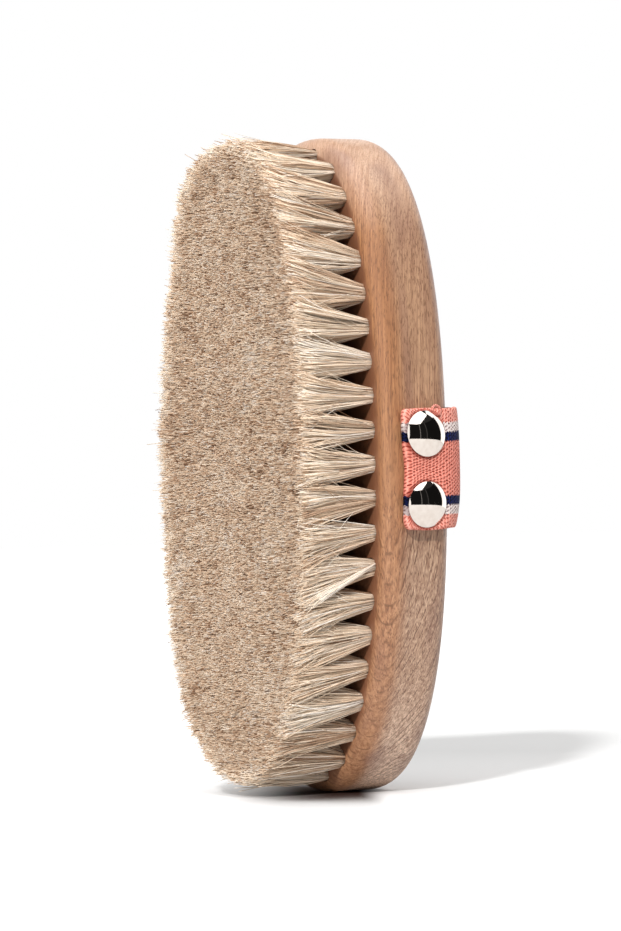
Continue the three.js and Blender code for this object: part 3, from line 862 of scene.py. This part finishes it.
flat = np.array([vertex.co for vertex in webbing_strap.data.vertices])
chart = webbing_strap.data.uv_layers[0]
chart.name = "OFBake"
corner_spots = flat[[loop.vertex_index for loop in webbing_strap.data.loops], :2] + 0.5
corner_spots = corner_spots * (1.0, STRAP_WIDTH / strap_length)
chart.data.foreach_set("uv", corner_spots.astype(np.float32).ravel())


def path_at(run):
    return np.stack([np.interp(run, path_run, strap_path[:, axis]) for axis in (0, 1)])


# Under each nail the webbing rises to meet the tilted rim, and a low ring is raised round it.
# The edges of the arch curl in. The folds have round corners, and are drawn back between the nails.
# Radii, lifts, curls and waves are in millimetres.
SEAT_RADIUS, SEAT_LIFT = 5.3, 0.20
RAISED_RADIUS, RAISED_WIDTH, RAISED_LIFT = 6.3, 1.0, 0.14
UPPER_CURL, LOWER_CURL = 0.5, 1.15
UPPER_STRETCH, LOWER_STRETCH = 0.02, -0.035
UPPER_CORNER, LOWER_CORNER = 1.2 * MM, 2.0 * MM
FOLD_REACH = 5.0 * MM
DRAWN_BACK, DRAWN_WIDTH = 0.6 * MM, 4.5 * MM
SLANT, CORNER_SHARE = 0.12 * MM, 0.55
SIDE_REACH, ARCH_EASE = 4 * MM, 9 * MM
EDGE_START, EDGE_WIDTH = 11.2, 1.3
WAVE_SIZE, WAVE_RATE, SCALLOP_SIZE = 0.10, 0.55, 0.09
PATH_NUDGE = 0.1 * MM
half_strap = STRAP_WIDTH / 2
run = (flat[:, 0] + 0.5) * strap_length
side = flat[:, 1] * STRAP_WIDTH
upper = side > 0
x, y = path_at(run)
ahead_x, ahead_y = path_at(run + PATH_NUDGE) - path_at(run - PATH_NUDGE)
long = np.hypot(ahead_x, ahead_y)
normal_x, normal_y = ahead_y / long, -ahead_x / long
from_end = np.minimum(run, strap_length - run)
outer_layer = (from_end > path_run[len(half) - FOLD_STEPS // 2 - 1]).astype(float)
on_side = outer_layer * (y < spring_y + SIDE_REACH)
lift = np.zeros(len(flat))
for z, tilt in zip(nail_z, NAIL_TILTS):
    above = strap_middle_z + side - z
    away = np.hypot(y - nail_y, above) / MM
    seat = np.exp(-((away / SEAT_RADIUS) ** 6)) * (SEAT_LIFT - math.tan(tilt) * above / MM)
    lift += on_side * (seat + RAISED_LIFT * np.exp(-(((away - RAISED_RADIUS) / RAISED_WIDTH) ** 2)))
in_arch = np.clip((y - spring_y) / ARCH_EASE, 0, 1)
in_arch = in_arch**2 * (3 - 2 * in_arch) * outer_layer
lift -= in_arch * np.where(upper, UPPER_CURL, LOWER_CURL) * np.abs(side / half_strap) ** 3
corner = np.where(upper, UPPER_CORNER, LOWER_CORNER)
past = np.clip(np.abs(side) - (half_strap - corner), 0, corner)
rounded = corner - np.sqrt(corner**2 - past**2)
slant = SLANT * (1 - side / half_strap)
near_fold = np.clip((fold_y + FOLD_REACH - y) / FOLD_REACH, 0, 1) ** 2
drawn_in = DRAWN_BACK * np.exp(-((side / DRAWN_WIDTH) ** 2))
fold_back = near_fold * (CORNER_SHARE * rounded + slant + drawn_in)
edge_near = np.clip((np.abs(side) / MM - EDGE_START) / EDGE_WIDTH, 0, 1)
wave = WAVE_SIZE * np.sin(run / MM * WAVE_RATE) * (side / half_strap)
wave += SCALLOP_SIZE * np.sin(run / MM * 2 * np.pi / COLUMN_GAP) * edge_near**3
z = strap_middle_z + side * (1 + np.where(upper, UPPER_STRETCH, LOWER_STRETCH) * in_arch) + wave * MM
x, y = x + normal_x * lift * MM, y + normal_y * lift * MM + fold_back
for vertex, spot in zip(webbing_strap.data.vertices, zip(x, y, z)):
    vertex.co = spot
apply_modifier(webbing_strap, "SOLIDIFY", thickness=STRAP_THICK, offset=0.0)
apply_modifier(webbing_strap, "SUBSURF", levels=1, render_levels=1)
bpy.ops.object.mode_set(mode="EDIT")
face_outward()
make_active(webbing_strap)
bpy.ops.object.shade_smooth()

# The knit, in millimetres: columns of slanting stitches with a small gap in each, every other column
# half a stitch higher. Each stitch has its own luck, which moves, turns and deepens its gap.
STITCH_TURN = math.radians(20)
HOLE_LONG, HOLE_WIDE = 0.36, 0.16
TURN_LUCK, DEPTH_LUCK = 0.8, 0.45
SHIFT_LUCK = (0.26, 0.20, 0.0)
YARN_ROUND = 0.09
knit, knit_in = new_group(
    "knitted_rows", {"Along": "NodeSocketFloat", "Across": "NodeSocketFloat"}, ("Hole", "Height", "Row Edge")
)
columns = product(knit, knit_in["Along"], 1 / COLUMN_GAP)
column, column_share = maths(knit, "FLOOR", columns), maths(knit, "FRACT", columns)
rows = product(knit, knit_in["Across"], 1 / STITCH_GAP)
rows = maths(knit, "MULTIPLY_ADD", column, 0.5, rows)
row, row_share = maths(knit, "FLOOR", rows), maths(knit, "FRACT", rows)
stitch_x = maths(knit, "MULTIPLY_ADD", column_share, COLUMN_GAP, -COLUMN_GAP / 2)
stitch_y = maths(knit, "MULTIPLY_ADD", row_share, STITCH_GAP, -STITCH_GAP / 2)
stitch = combined(knit, column, row)
luck = add_node(knit, "ShaderNodeTexWhiteNoise", {"Vector": stitch}, noise_dimensions="2D")
middle_luck = [-part / 2 for part in SHIFT_LUCK]
shift = vector_maths(knit, "MULTIPLY_ADD", luck.outputs["Color"], SHIFT_LUCK, middle_luck)
moved = vector_maths(knit, "ADD", combined(knit, stitch_x, stitch_y), shift)
lean = maths(knit, "MULTIPLY_ADD", luck.outputs["Value"], TURN_LUCK, -STITCH_TURN - TURN_LUCK / 2)
turned = add_node(knit, "ShaderNodeVectorRotate", {"Vector": moved, "Angle": lean}, rotation_type="Z_AXIS")
shrunk = vector_maths(knit, "MULTIPLY", turned.outputs[0], (1 / HOLE_LONG, 1 / HOLE_WIDE, 0.0))
gap = eased(knit, vector_maths(knit, "LENGTH", shrunk), 1.5, 0.5)
hole = product(knit, gap, maths(knit, "MULTIPLY_ADD", luck.outputs["Value"], DEPTH_LUCK, 1 - DEPTH_LUCK))
yarn = maths(knit, "COSINE", product(knit, column_share, 2 * math.pi))
knit_height = maths(knit, "SUBTRACT", maths(knit, "MULTIPLY_ADD", yarn, YARN_ROUND, 1.0), gap)
row_edge = maths(knit, "SINE", product(knit, columns, 2 * math.pi))
add_node(knit, "NodeGroupOutput", {"Hole": hole, "Height": knit_height, "Row Edge": row_edge})


def from_nails(tree, place):
    flat_place = vector_maths(tree, "MULTIPLY", place, (0.0, 1.0, 1.0))
    return [vector_maths(tree, "DISTANCE", flat_place, (0.0, nail_y, z)) for z in nail_z]


# Each colour has three tones: that of the yarn, a painted shade for the gaps between the stitches, and a
# painted highlight for their crowns.
# The coral at both edges of the webbing is lighter than in the middle: painted light.
CORAL, LIT_EDGE_CORAL = ("ec8b79", "82281b", "fdb09f"), ("f59c8a", "a8483a", "ffc2b3")
WHITE, NAVY = ("f2e1db", "7b5d5d", "fffaf6"), ("0a1036", "04050d", "232f70")
STRIPES = (  # each stripe starts at a distance in millimetres from the lower edge
    (0.0, LIT_EDGE_CORAL), (3.0, WHITE), (4.9, NAVY), (6.9, CORAL),
    (18.1, NAVY), (20.1, WHITE), (22.0, LIT_EDGE_CORAL), (WEBBING, LIT_EDGE_CORAL),
)
PULL_REACH, PULL_SIZE = 5.8 * MM, 1.5
striped_webbing, tree = new_material("striped_webbing")
chart = add_node(tree, "ShaderNodeUVMap", uv_map="OFBake").outputs[0]
strap_spot = add_node(tree, "ShaderNodeSeparateXYZ", {0: chart}).outputs
along, across = [product(tree, strap_spot[axis], strap_length / MM) for axis in (0, 1)]
strap_place = own_place(tree)
nail_line = vector_maths(tree, "DOT_PRODUCT", strap_place, (0.0, 1.0, 0.0))
nail_line = maths(tree, "ABSOLUTE", maths(tree, "SUBTRACT", nail_line, nail_y))
pulled = maths(tree, "ADD", across, -WEBBING / 2)
pulled = product(tree, pulled, eased(tree, nail_line, PULL_REACH, 0.0, 1.0, PULL_SIZE))
weave = add_node(tree, "ShaderNodeGroup", {"Along": along, "Across": pulled}, node_tree=knit).outputs
uneven = maths(tree, "MULTIPLY_ADD", weave["Row Edge"], 0.16, across)
stripe_share = scaled(tree, uneven, 0.0, WEBBING)
stripe_stops = [[(start / WEBBING, colour(codes[which])) for start, codes in STRIPES] for which in (0, 1, 2)]
yarns, gap_shades, crown_highlights = [colour_ramp(tree, stripe_share, stops, "CONSTANT") for stops in stripe_stops]
cloth = mix_colours(tree, scaled(tree, weave["Height"], 0.93, 1.09, 0.0, 0.7), yarns, crown_highlights)
cloth = mix_colours(tree, weave["Hole"], cloth, gap_shades)
fuzz = noise(tree, chart, (220.0, 220.0, 220.0), 3.0)
cloth = mix_colours(tree, scaled(tree, fuzz, 0.40, 0.75, 0.0, 0.3), cloth, gap_shades)
# A dark ring on the webbing round each nail's rim: a painted shadow of the rim.
for distance in from_nails(tree, strap_place):
    cloth = mix_colours(tree, scaled(tree, distance, 5.4 * MM, 5.0 * MM, 0.0, 0.65), cloth, gap_shades)
raised = {"Height": weave["Height"], "Strength": 0.8, "Distance": 0.2 * MM}
bump = add_node(tree, "ShaderNodeBump", raised).outputs[0]
surface = add_node(tree, "ShaderNodeBsdfPrincipled", {"Base Color": cloth, "Roughness": 0.85, "Normal": bump})
surface.inputs["Specular IOR Level"].default_value = 0.12
show(tree, surface)

LOOP_RADIUS, LOOP_YARN = 1.0 * MM, 0.32 * MM
LOOP_PLACE = (31.15 * MM, 7.0 * MM, strap_high.z - 0.5 * MM)
LOOP_TURN = math.radians(78)
start_fresh()
bpy.ops.mesh.primitive_torus_add(
    major_radius=LOOP_RADIUS, minor_radius=LOOP_YARN, major_segments=28, minor_segments=8,
    location=LOOP_PLACE, rotation=(0.0, LOOP_TURN, 0.0),
)
thread_loop = bpy.context.object
apply_place()
bpy.ops.object.shade_smooth()
loop_chart = thread_loop.data.uv_layers[0]
loop_chart.name = "OFBake"
for corner in loop_chart.data:
    corner.uv = (0.1 + 0.2 * corner.uv.x, 0.6 + 0.05 * corner.uv.y)
make_active(webbing_strap)
thread_loop.select_set(True)
bpy.ops.object.join()
webbing_strap.data.materials.append(striped_webbing)
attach(webbing_strap, "root")
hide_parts("hand_strap")

# The nails: stamped domes of nickelled steel on pointed shanks, polished bright.
# Two are driven through each folded end of the strap, until their rims press on the webbing.
NAIL_RADIUS = 5.0 * MM
NAIL_HEIGHT = 2.05 * MM
LIP_HEIGHT = 0.22 * MM
HEAD_BACK = 0.15 * MM
SHANK_RADIUS, SHANK_LENGTH, POINT_LENGTH = 0.8, 11.0, 2.5
# Radius and height of the rings that make the lip and the shank, in millimetres.
LIP = ((4.90, 0.14), (4.98, 0.06), (5.00, -0.02), (4.93, -0.10), (4.65, -0.11), (3.0, 0.55))
SHANK = ((SHANK_RADIUS, 0.9), (SHANK_RADIUS, POINT_LENGTH - SHANK_LENGTH), (0.04, -SHANK_LENGTH))
dome_radius = (NAIL_RADIUS**2 + NAIL_HEIGHT**2) / (2 * NAIL_HEIGHT)
dome_middle = NAIL_HEIGHT - dome_radius
start_fresh()
bpy.ops.mesh.primitive_uv_sphere_add(
    segments=72, ring_count=56, radius=dome_radius, location=(0.0, 0.0, dome_middle)
)
first_nail = bpy.context.object
apply_place()
bpy.ops.object.mode_set(mode="EDIT")
bpy.ops.mesh.select_all(action="SELECT")
bpy.ops.mesh.bisect(plane_co=(0.0, 0.0, LIP_HEIGHT), plane_no=(0.0, 0.0, 1.0), clear_inner=True)
pick_edges(first_nail, lambda place: place.z < LIP_HEIGHT + CLOSE_TO)
reached, level = math.sqrt(dome_radius**2 - (LIP_HEIGHT - dome_middle) ** 2), LIP_HEIGHT
for radius, height in LIP + SHANK:
    bpy.ops.mesh.extrude_edges_move(TRANSFORM_OT_translate={"value": (0.0, 0.0, height * MM - level)})
    growth = radius * MM / reached
    bpy.ops.transform.resize(value=(growth, growth, 1.0), center_override=(0.0, 0.0, 0.0))
    reached, level = radius * MM, height * MM
bpy.ops.mesh.edge_face_add()
face_outward()
make_active(first_nail)
bpy.ops.object.shade_smooth_by_angle(angle=math.radians(40))

polished_nickel, tree = new_material("polished_nickel")
object_place = own_place(tree)
handled = noise(tree, object_place, (900.0, 900.0, 900.0), 3.0)
scratches = noise(tree, object_place, (2600.0, 600.0, 9000.0), 2.0)
metal = mix_colours(tree, scaled(tree, handled, 0.35, 0.7), colour("ebe1d8"), colour("e1d5cb"))
shine = scaled(tree, scratches, 0.35, 0.75, 0.025, 0.075)
nearest = maths(tree, "MINIMUM", *from_nails(tree, object_place))
# The lip is darker and rougher: a duller steel edge, and painted shade at the rim.
on_lip = scaled(tree, nearest, 4.66 * MM, 4.8 * MM, 0.0, 0.8)
metal = mix_colours(tree, on_lip, metal, colour("b8a29b"))
shine = maths(tree, "MULTIPLY_ADD", on_lip, 0.25, shine)
surface = add_node(tree, "ShaderNodeBsdfPrincipled", {"Base Color": metal, "Roughness": shine})
surface.inputs["Metallic"].default_value = 1.0
show(tree, surface)
first_nail.data.materials.append(polished_nickel)

for name in NAIL_NAMES:
    low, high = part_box(name)
    outward = 1.0 if low.x > 0 else -1.0
    rim_x = outward * (max(abs(low.x), abs(high.x)) - NAIL_HEIGHT)
    placed = bpy.data.objects.new(f"dome_{name}", first_nail.data.copy())
    placed.data.transform(Matrix.Rotation(outward * math.pi / 2, 4, "Y"))
    seat = Matrix.Translation((rim_x, nail_y, (low.z + high.z) / 2))
    tilt = Matrix.Rotation(-outward * NAIL_TILTS[0 if "upper" in name else 1], 4, "Y")
    for vertex in placed.data.vertices:
        in_head = outward * vertex.co.x > -HEAD_BACK
        vertex.co = seat @ (tilt @ vertex.co if in_head else vertex.co)
    bpy.context.collection.objects.link(placed)
    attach(placed, "root")
    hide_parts(name)
bpy.data.objects.remove(first_nail)
